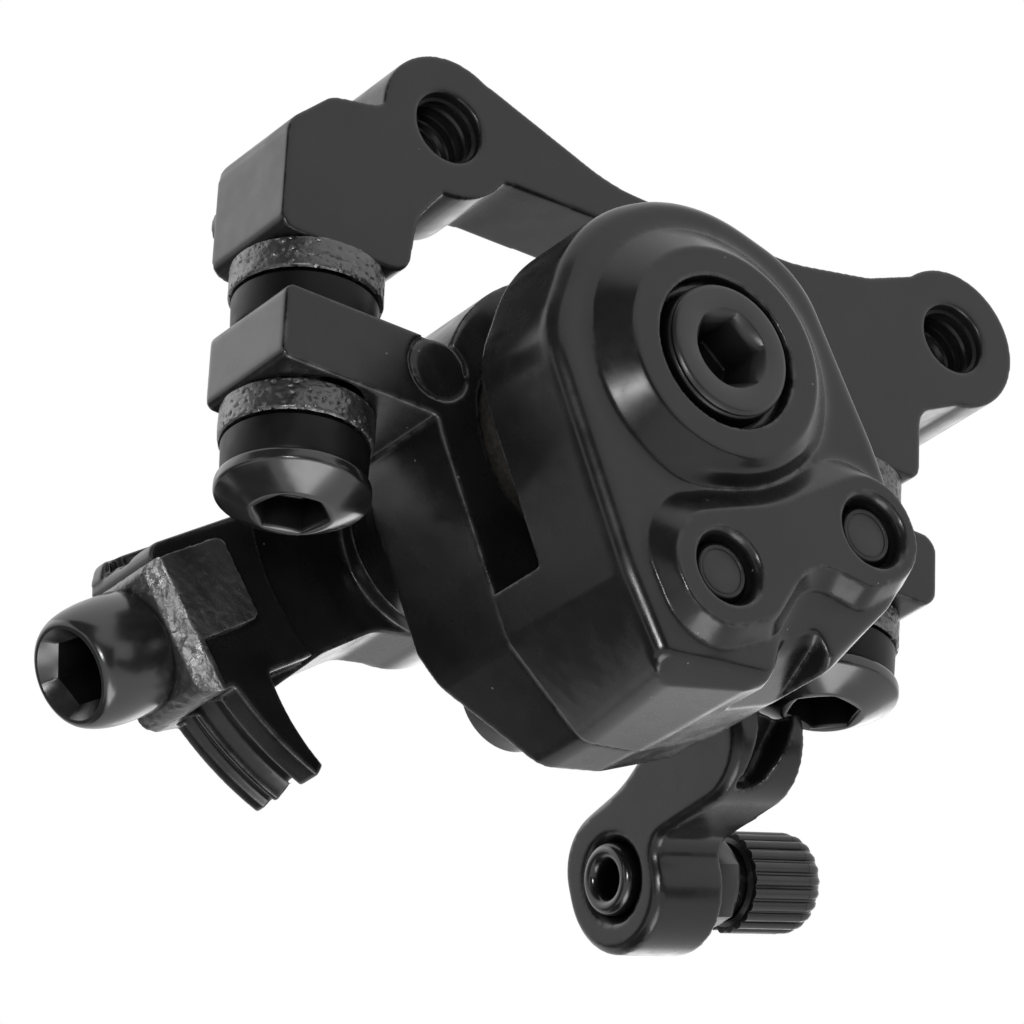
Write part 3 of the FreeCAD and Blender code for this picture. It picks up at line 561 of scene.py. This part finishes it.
def mountBoltMesh(place, turn):
    bolt = mountBolt
    key, socket, head, top = bolt["key"], bolt["socket"], bolt["head"], bolt["top"]
    flange, shank, low = bolt["flange"], bolt["shank"], bolt["head"] - bolt["edge"]
    rings = [(0, socket), (key - 0.15, socket, 1), (key, socket - 0.2, 1), (key, 0.3, 1),
             (key + 0.25, 0.05, 0.6), (bolt["face"] - 0.1, 0.0), (bolt["face"] + bolt["break"], 0.06),
             (flange - bolt["break"], low - 0.07), (flange, low + 0.1),
             (flange, head - bolt["round"]), (flange - bolt["break"], head - 0.1),
             (flange - bolt["round"], head), (shank + 0.25, head), (shank, head + 0.2),
             (shank, top - bolt["bevel"]), (shank - bolt["bevel"], top), (0, top)]
    return turnedMesh("mount_bolt", place + mm(0, 0, bolt["baseZ"]), up, softened(rings, bolt["soft"]),
                      bolt["sides"], turn)


mountBolts = [mountBoltMesh(place, math.radians(turn)) for place, turn in zip(boltPlaces, mountBolt["turns"])]
addPiece("mount_bolts_turned", joined("mount_bolts_turned", mountBolts), "blackBolt", "mount_bolts")

# A cup has a hollow seat on its lower side, and the dome under it the same ball shape.
cupWasher = {"radius": 6.05, "bore": 3.4, "height": 2.8, "ball": 7.5, "centre": -5.115, "rim": 5.485,
             "break": 0.12, "bevel": 0.2, "wallTop": -0.22, "wallLess": 0.5, "rows": 20, "seatRows": 6,
             "sides": 240,
             "rough": {"lump": 0.05, "lumpScale": 1.1, "pit": 0.3, "pitScale": 3.6, "pitLimit": 0.18}}
domeWasher = {"radius": 5.65, "bore": 3.4, "height": 3.2, "ball": 7.5, "centre": -1.915, "bevel": 0.3,
              "arcFrom": 50.0, "arcSpan": 23.0, "arcRows": 8}
washerTops = {"upper": -14.8, "lower": -27.3}


def cupMesh(place, top):
    cup = cupWasher
    low, radius = -cup["height"], cup["radius"]
    edge = cup["rim"] - cup["break"]
    wall = [(radius, cup["wallTop"] + (low + cup["wallLess"]) * k / cup["rows"])
            for k in range(cup["rows"] + 1)]
    seatRadii = [edge - (edge - cup["bore"]) * k / cup["seatRows"] for k in range(cup["seatRows"] + 1)]
    seat = [(reach, low + cup["centre"] + math.sqrt(cup["ball"] ** 2 - reach ** 2)) for reach in seatRadii]
    rings = ([(cup["bore"], 0), (radius - cup["bevel"], 0)] + wall
             + [(radius - 0.06, low + cup["break"]), (radius - cup["bevel"], low)] + seat)
    mesh = turnedMesh("cup", place + mm(0, 0, top), up, rings, cup["sides"])
    roughen(mesh, cup["rough"])
    return mesh


def domeMesh(place, top):
    dome = domeWasher
    low = top - cupWasher["height"] - dome["height"]
    angles = [math.radians(dome["arcFrom"] - dome["arcSpan"] * k / dome["arcRows"])
              for k in range(dome["arcRows"] + 1)]
    arc = [(dome["ball"] * math.sin(a), dome["centre"] + dome["ball"] * math.cos(a)) for a in angles]
    rings = [(dome["bore"], 0), (dome["radius"] - dome["bevel"], 0), (dome["radius"] - 0.08, 0.08),
             (dome["radius"], dome["bevel"])] + arc
    return turnedMesh("dome", place + mm(0, 0, low), up, rings)


for level, top in washerTops.items():
    for kind, shape in (("cup", cupMesh), ("dome", domeMesh)):
        node = f"{level}_{kind}_washers"
        whole = joined(node + "_turned", [shape(place, top) for place in boltPlaces])
        # The dome washers take the dull black, darkened as painted shade.
        addPiece(node + "_turned", whole, "roughCast" if kind == "cup" else "dullBlackAndPaintedShade", node)
print("mounting bolts and washers made")

bodyBolt = {"radius": 2.45, "face": -28.1, "seat": -4.6, "head": 4.2, "bevel": 0.4, "back": 0.1, "key": 2.0,
            "keyDepth": 2.4, "soft": 0.06}


# A body bolt shows its stepped end in the cover; its socket head sits in the back of the body.
def bodyBoltMesh(s, t, turn):
    bolt = bodyBolt
    radius, head, key = bolt["radius"], bolt["head"], bolt["key"]
    length, seat = bolt["back"] - bolt["face"], bolt["seat"] - bolt["face"]
    floor = length - bolt["keyDepth"]
    rings = [(0, 0.05), (radius - 0.75, 0.03), (radius - 0.55, 0.12), (radius - 0.42, 0.0),
             (radius - 0.32, 0.02), (radius, 0.35), (radius, seat), (head, seat),
             (head, length - bolt["bevel"]), (head - bolt["bevel"], length), (key + 0.3, length),
             (key, length - 0.3, 1), (key, floor, 1), (0, floor)]
    return turnedMesh("body_bolt", onBody(s, t, bolt["face"]), actuator["way"], softened(rings, bolt["soft"]),
                      turn=turn)


bodyBolts = [bodyBoltMesh(s, t, t) for s, t in bodyBoltSpots]
addPiece("body_bolts_turned", joined("body_bolts_turned", bodyBolts), "satinBlack", "body_bolts")


# Turns one ring list about an axis; the result stands for its node.
def addTurned(node, finish, base, way, rings, sides=96, turn=0):
    mesh = turnedMesh(node + "_turned", base, way, rings, sides, math.radians(turn))
    addPiece(node + "_turned", mesh, finish, node)


padAdjuster = {"front": -30.2, "back": -21.5, "radius": 5.5, "groove": 0.22, "key": 2.5, "socket": 4.5,
               "mouth": 3.3, "soft": 0.08, "turn": 8}
radius, key, socket = padAdjuster["radius"], padAdjuster["key"], padAdjuster["socket"]
length = padAdjuster["back"] - padAdjuster["front"]
rings = [(0, socket), (key - 0.2, socket, 1), (key, socket - 0.25, 1), (key, 1.0, 1), (key + 0.3, 0.55, 0.6),
         (padAdjuster["mouth"], 0.0), (radius - 0.6, 0.0), (radius - 0.32, 0.1), (radius - 0.1, 0.4),
         (radius - padAdjuster["groove"], 0.52), (radius, 0.75), (radius, length), (0, length)]
addTurned("pad_adjuster", "satinBlack", onBody(0, 0, padAdjuster["front"]), actuator["way"],
          softened(rings, padAdjuster["soft"]), turn=padAdjuster["turn"])

clampBolt = {"seat": 29.4, "lift": 0.4, "radius": 5.0, "length": 6.6, "crown": 3.85, "crownFrom": 2.6,
             "mouth": 3.55, "key": 2.5, "socket": 5.0, "shank": 2.5, "under": 8.4, "rows": 10, "sides": 144,
             "turn": 20}
clampUp = Vector((math.sin(clampAngle), 0, -math.cos(clampAngle)))
clampBase = (actuator["place"] + mm(0, cable["y"], 0) + clampUp * mm(clampBolt["lift"])
             + clampWay * mm(clampBolt["seat"]))
radius, crown, start = clampBolt["radius"], clampBolt["crown"], clampBolt["crownFrom"]
length, under, shank, key = clampBolt["length"], clampBolt["under"], clampBolt["shank"], clampBolt["key"]
angles = [math.radians(90 / clampBolt["rows"] * k) for k in range(clampBolt["rows"] + 1)]
arc = [(crown + (radius - crown) * math.cos(a), start + (length - start) * math.sin(a)) for a in angles]
bottom = length - clampBolt["socket"]
rings = ([(0, -under), (shank, -under), (shank, 0), (radius - 0.4, 0), (radius - 0.1, 0.12), (radius, 0.5)]
         + arc + [(clampBolt["mouth"] + 0.1, length - 0.02), (key + 0.4, length - 0.8, 0.5),
                  (key, length - 1.15, 1), (key, bottom, 1), (0, bottom)])
addTurned("cable_clamp_bolt", "blackBolt", clampBase, clampWay, rings, clampBolt["sides"], clampBolt["turn"])

# Distances of the barrel and its locknut run along the cable line.
barrel = {"tip": 14.2, "thread": 2.96, "knurlStart": 26.6, "end": 34.4, "core": 3.88, "round": 1.4, "bore": 1.1,
          "seat": 2.6, "seatDepth": 6.0, "tipBore": 1.5, "tipDepth": 3.0, "tipRound": 0.7}
tip, tipBore, tipRound = barrel["tip"], barrel["tipBore"], barrel["tipRound"]
core, knob, end, seat = barrel["core"], barrel["knurlStart"], barrel["end"], barrel["seat"]
rings = ([(tipBore, tip + 0.9), (tipBore + 0.12, tip + 0.4), (tipBore + 0.4, tip + 0.1)]
         + roundOff(barrel["thread"] - tipRound, tip + tipRound, tipRound, start=180, end=90)
         + [(barrel["thread"], knob), (core - 0.6, knob), (core, knob + 0.4)]
         + roundOff(core - barrel["round"], end - barrel["round"], barrel["round"], start=90, end=15)
         + [(seat + 0.15, end), (seat, end - 0.2), (seat, end - barrel["seatDepth"]),
            (barrel["bore"], end - barrel["seatDepth"]), (barrel["bore"], tip + barrel["tipDepth"]),
            (tipBore, tip + barrel["tipDepth"])])
addTurned("barrel_adjuster", "blackBolt", onCable(0), cable["way"], rings)

locknut = {"from": 22.0, "to": 25.4, "half": 3.8, "bore": 3.0, "soft": 0.08, "turn": 30}
near, far, half = locknut["from"], locknut["to"], locknut["half"]
rings = [(locknut["bore"], near), (half - 0.1, near, 0.4), (half, near + 0.35, 1), (half, far - 0.5, 1),
         (half - 0.1, far, 0.3), (locknut["bore"], far)]
addTurned("barrel_locknut", "satinBlack", onCable(0), cable["way"], softened(rings, locknut["soft"]),
          turn=locknut["turn"])

armWasher = {"seat": 18.0, "radius": 6.2, "hole": 2.15, "thick": 1.0, "break": 0.15, "soft": 0.05}
armFace = onBody(0, 0, armWasher["seat"])
radius, hole, thick = armWasher["radius"], armWasher["hole"], armWasher["thick"]
rings = [(hole, 0), (radius - 0.1, 0), (radius, armWasher["break"]), (radius, thick - armWasher["break"]),
         (radius - armWasher["break"], thick), (hole, thick)]
addTurned("arm_washer", "blackBolt", armFace, actuator["way"], softened(rings, armWasher["soft"]))

armScrew = {"head": 4.6, "crown": 2.9, "key": 2.0, "keyFloor": 0.7, "shank": 2.0, "length": 6.0, "soft": 0.1}
head, key, shank, length = armScrew["head"], armScrew["key"], armScrew["shank"], armScrew["length"]
crest, bottom = thick + armScrew["crown"], thick + armScrew["keyFloor"]
rings = [(0, -length), (shank, -length), (shank, thick), (head, thick), (head, thick + 0.9),
         (head - 0.35, thick + 1.8), (head - 1.1, crest), (key + 0.5, crest), (key, crest - 0.35, 1),
         (key, bottom, 1), (0, bottom)]
addTurned("arm_screw", "blackBolt", armFace, actuator["way"], softened(rings, armScrew["soft"]))
print("turned pieces made")


def newNodeTree(name, inputs):
    tree = bpy.data.node_groups.new(name, "GeometryNodeTree")
    tree.interface.new_socket("Geometry", in_out="OUTPUT", socket_type="NodeSocketGeometry")
    sockets = {}
    for label, kind, value in inputs:
        socket = tree.interface.new_socket(label, in_out="INPUT", socket_type=kind)
        socket.default_value = value
        sockets[label] = socket.identifier
    return tree, sockets, tree.nodes.new("NodeGroupInput"), tree.nodes.new("NodeGroupOutput")


def closeTree(tree, end, geometry, finish):
    real = tree.nodes.new("GeometryNodeRealizeInstances")
    paint = tree.nodes.new("GeometryNodeSetMaterial")
    paint.inputs["Material"].default_value = finishes[finish]
    link(tree, geometry, real.inputs["Geometry"])
    link(tree, real.outputs["Geometry"], paint.inputs["Geometry"])
    link(tree, paint.outputs["Geometry"], end.inputs["Geometry"])


def grownMesh(name, tree, sockets, values, base, way):
    host = addObject(name + "_host", bpy.data.meshes.new(name + "_host"))
    grow = host.modifiers.new("grow", "NODES")
    grow.node_group = tree
    for label, value in values.items():
        grow[sockets[label]] = value
    mesh = evaluated(host, name)
    bpy.data.objects.remove(host)
    mesh.transform(Matrix.Translation(base) @ way.normalized().to_track_quat("Z", "Y").to_matrix().to_4x4())
    smoothShade(mesh, angle=50)
    return mesh


def point(tree, across=None, along=None):
    node = tree.nodes.new("ShaderNodeCombineXYZ")
    for socket, value in ((node.inputs[0], across), (node.inputs[2], along)):
        if value is not None:
            link(tree, value, socket)
    return node.outputs[0]


curveSteps = {"bend": 6, "ribSection": 12, "turn": 48, "crestSection": 4}


# Round ribs side by side about a knob; each runs straight and then bends inwards over the rounded end.
def makeRibTree():
    tree, sockets, start, end = newNodeTree("knurlRibs", [
        ("Ribs", "NodeSocketInt", 28), ("Ring Radius", "NodeSocketFloat", mm(3.76)),
        ("Rib Radius", "NodeSocketFloat", mm(0.44)), ("Straight", "NodeSocketFloat", mm(6.0)),
        ("Bend", "NodeSocketFloat", mm(1.4))])
    straight = tree.nodes.new("GeometryNodeCurvePrimitiveLine")
    link(tree, point(tree, along=start.outputs["Straight"]), straight.inputs["End"])
    bend = tree.nodes.new("GeometryNodeCurveQuadraticBezier")
    bend.inputs["Resolution"].default_value = curveSteps["bend"]
    far = mathNode(tree, "ADD", start.outputs["Straight"], start.outputs["Bend"])
    inward = mathNode(tree, "MULTIPLY", start.outputs["Bend"], -1.0)
    link(tree, point(tree, along=start.outputs["Straight"]), bend.inputs["Start"])
    link(tree, point(tree, along=far), bend.inputs["Middle"])
    link(tree, point(tree, across=inward, along=far), bend.inputs["End"])
    both = tree.nodes.new("GeometryNodeJoinGeometry")
    link(tree, straight.outputs["Curve"], both.inputs[0])
    link(tree, bend.outputs["Curve"], both.inputs[0])
    profile = tree.nodes.new("GeometryNodeCurvePrimitiveCircle")
    profile.inputs["Resolution"].default_value = curveSteps["ribSection"]
    link(tree, start.outputs["Rib Radius"], profile.inputs["Radius"])
    rib = tree.nodes.new("GeometryNodeCurveToMesh")
    rib.inputs["Fill Caps"].default_value = True
    link(tree, both.outputs[0], rib.inputs["Curve"])
    link(tree, profile.outputs["Curve"], rib.inputs["Profile Curve"])
    ringNode = tree.nodes.new("GeometryNodeMeshCircle")
    link(tree, start.outputs["Ribs"], ringNode.inputs["Vertices"])
    link(tree, start.outputs["Ring Radius"], ringNode.inputs["Radius"])
    facing = tree.nodes.new("FunctionNodeAlignRotationToVector")
    facing.axis = "X"
    link(tree, tree.nodes.new("GeometryNodeInputPosition").outputs[0], facing.inputs["Vector"])
    copies = tree.nodes.new("GeometryNodeInstanceOnPoints")
    link(tree, ringNode.outputs["Mesh"], copies.inputs["Points"])
    link(tree, rib.outputs["Mesh"], copies.inputs["Instance"])
    link(tree, facing.outputs[0], copies.inputs["Rotation"])
    closeTree(tree, end, copies.outputs["Instances"], "satinBlack")
    return tree, sockets


# One thread's crest: a thin square rod wound as a helix inside a hole.
def makeThreadTree():
    tree, sockets, start, end = newNodeTree("threadHelix", [
        ("Turns", "NodeSocketFloat", 8.0), ("Radius", "NodeSocketFloat", mm(3.0)),
        ("Pitch", "NodeSocketFloat", mm(1.0)), ("Depth", "NodeSocketFloat", mm(0.5))])
    spiral = tree.nodes.new("GeometryNodeCurveSpiral")
    spiral.inputs["Resolution"].default_value = curveSteps["turn"]
    link(tree, start.outputs["Turns"], spiral.inputs["Rotations"])
    link(tree, start.outputs["Radius"], spiral.inputs["Start Radius"])
    link(tree, start.outputs["Radius"], spiral.inputs["End Radius"])
    height = mathNode(tree, "MULTIPLY", start.outputs["Turns"], start.outputs["Pitch"])
    link(tree, height, spiral.inputs["Height"])
    profile = tree.nodes.new("GeometryNodeCurvePrimitiveCircle")
    profile.inputs["Resolution"].default_value = curveSteps["crestSection"]
    link(tree, start.outputs["Depth"], profile.inputs["Radius"])
    sweep = tree.nodes.new("GeometryNodeCurveToMesh")
    sweep.inputs["Fill Caps"].default_value = True
    link(tree, spiral.outputs["Curve"], sweep.inputs["Curve"])
    link(tree, profile.outputs["Curve"], sweep.inputs["Profile Curve"])
    closeTree(tree, end, sweep.outputs["Mesh"], "dullBlackAndPaintedShade")
    return tree, sockets


knurl = {"ribs": 22, "ring": 3.68, "rib": 0.52, "start": 26.85, "straight": 5.7, "bend": 1.3}
ribTree, ribSockets = makeRibTree()
ribs = grownMesh("barrel_knurl", ribTree, ribSockets,
                 {"Ribs": knurl["ribs"], "Ring Radius": mm(knurl["ring"]), "Rib Radius": mm(knurl["rib"]),
                  "Straight": mm(knurl["straight"]), "Bend": mm(knurl["bend"])},
                 onCable(knurl["start"]), cable["way"])
addPiece("barrel_knurl", ribs, "satinBlack", body="barrel")

frameThread = {"radius": 3.1, "pitch": 1.0, "depth": 0.36, "turns": 8.8, "holes": [-25.5, 25.5], "start": -9.5}
threadTree, threadSockets = makeThreadTree()
threadSizes = {"Turns": frameThread["turns"], "Radius": mm(frameThread["radius"]),
               "Pitch": mm(frameThread["pitch"]), "Depth": mm(frameThread["depth"])}
threadMeshes = [grownMesh("thread", threadTree, threadSockets, threadSizes, mm(x, frameThread["start"], 0),
                          actuator["way"]) for x in frameThread["holes"]]
threads = addPiece("frame_hole_threads", joined("frame_hole_threads", threadMeshes), "dullBlackAndPaintedShade",
                   body="caliper")
print("threads and knurl made")

# The camera was solved from the photo on 26 points.
view = {"eye": mm(-241.28, -338.89, -250.84), "lens": 208.33, "sensor": 36.0, "clip": 0.01,
        "right": (0.8130, -0.5807, 0.0426), "down": (0.3109, 0.3712, -0.8749),
        "forward": (0.4923, 0.7246, 0.4824)}
cameraData = bpy.data.cameras.new("camera")
cameraData.lens = view["lens"]
cameraData.sensor_width = view["sensor"]
cameraData.clip_start = view["clip"]
camera = addObject("camera", cameraData)
right, down, forward = (Vector(view[side]).normalized() for side in ("right", "down", "forward"))
camera.matrix_world = Matrix.Translation(view["eye"]) @ Matrix((right, -down, -forward)).transposed().to_4x4()
bpy.context.scene.camera = camera

middle = mm(-8, -5, -22)


def facingMiddle(direction, distance):
    place = middle + Vector(direction).normalized() * distance
    return Matrix.Translation(place) @ (place - middle).to_track_quat("Z", "Y").to_matrix().to_4x4()


# Soft boxes stand round the part; each direction leads from the part to the box.
softBoxes = {
    "leftBack": {"direction": (-0.49, 0.72, 0.50), "distance": 0.9, "size": (0.75, 0.45), "power": 0.85},
    "below": {"direction": (0.08, -0.22, -0.97), "distance": 0.55, "size": (0.34, 0.3), "power": 1.3},
    "front": {"direction": (-0.60, -0.70, -0.30), "distance": 0.9, "size": (0.15, 0.15), "power": 2.6},
    "rightBack": {"direction": (0.75, 0.6, 0.1), "distance": 1.0, "size": (0.5, 0.5), "power": 1.0},
}
for name, box in softBoxes.items():
    data = bpy.data.lights.new(name, "AREA")
    data.shape = "RECTANGLE"
    data.size, data.size_y = box["size"]
    data.energy = box["power"]
    lamp = addObject(name, data)
    lamp.matrix_world = facingMiddle(box["direction"], box["distance"])
    lamp.visible_camera = False


def sheetMesh(name, wide, tall, height=0.0):
    mesh = bpy.data.meshes.new(name)
    x, y = wide / 2, tall / 2
    mesh.from_pydata([(-x, -y, height), (x, -y, height), (x, y, height), (-x, y, height)], [], [(0, 1, 2, 3)])
    return mesh


# Painted reflections: dark, faintly glowing sheets that only reflections see, so the gloss has something dark
# to show beside the pale room; they cast no shade.
reflectionCards = {
    "cameraSide": {"direction": (-0.49, -0.72, -0.30), "distance": 1.3, "size": (2.2, 1.7), "tone": 0.1},
    "leftLow": {"direction": (-0.74, 0.55, -0.38), "distance": 1.2, "size": (1.5, 0.8), "tone": 0.12},
    "leftUp": {"direction": (-0.80, -0.30, 0.50), "distance": 1.2, "size": (1.3, 1.1), "tone": 0.12},
    "backLow": {"direction": (-0.20, 0.52, -0.80), "distance": 0.7, "size": (0.5, 0.5), "tone": 0.06},
    "frontLow": {"direction": (0.50, -0.84, -0.20), "distance": 1.2, "size": (0.9, 0.3), "tone": 0.1},
}
for name, card in reflectionCards.items():
    mesh = sheetMesh(name, *card["size"])
    board = addObject(name, mesh)
    mesh.transform(facingMiddle(card["direction"], card["distance"]))
    material = bpy.data.materials.new(name + "PaintedReflection")
    material.use_nodes = True
    glow = material.node_tree.nodes.new("ShaderNodeEmission")
    glow.inputs["Color"].default_value = (card["tone"], card["tone"], card["tone"], 1)
    link(material.node_tree, glow.outputs[0], material.node_tree.nodes["Material Output"].inputs["Surface"])
    mesh.materials.append(material)
    board.visible_camera = False
    board.visible_diffuse = False
    board.visible_shadow = False
    board.visible_transmission = False


# 1 for rays that show the surroundings as they are, 0 for rays that carry their light to the part.
def shownRays(tree):
    rays = tree.nodes.new("ShaderNodeLightPath").outputs
    direct = mathNode(tree, "MAXIMUM", rays["Is Camera Ray"], rays["Is Glossy Ray"])
    return mathNode(tree, "MAXIMUM", direct, rays["Is Transmission Ray"])


studio = {"lightStrength": 0.45, "shownStrength": 1.0}
world = bpy.data.worlds.new("studio")
bpy.context.scene.world = world
world.use_nodes = True
tree = world.node_tree
paper = tree.nodes["Background"]
paper.inputs["Color"].default_value = (1, 1, 1, 1)
strength = mapRange(tree, shownRays(tree), 0.0, 1.0, studio["lightStrength"], studio["shownStrength"],
                    smooth=False)
link(tree, strength, paper.inputs["Strength"])

floorLook = {"size": 8.0, "height": -0.75, "color": (0.9, 0.9, 0.9), "rough": 0.9, "glow": 0.75}
floorMesh = sheetMesh("floor", floorLook["size"], floorLook["size"], floorLook["height"])
floor = addObject("floor", floorMesh)
floorPaint = bpy.data.materials.new("floorPaper")
floorPaint.use_nodes = True
tree = floorPaint.node_tree
base = tree.nodes["Principled BSDF"]
base.inputs["Base Color"].default_value = (*floorLook["color"], 1)
base.inputs["Roughness"].default_value = floorLook["rough"]
glow = tree.nodes.new("ShaderNodeEmission")
mix = tree.nodes.new("ShaderNodeMixShader")
link(tree, mathNode(tree, "MULTIPLY", shownRays(tree), floorLook["glow"]), mix.inputs["Fac"])
link(tree, base.outputs[0], mix.inputs[1])
link(tree, glow.outputs[0], mix.inputs[2])
link(tree, mix.outputs[0], tree.nodes["Material Output"].inputs["Surface"])
floorMesh.materials.append(floorPaint)

bpy.context.scene.view_settings.view_transform = "Standard"
print("camera and light set")
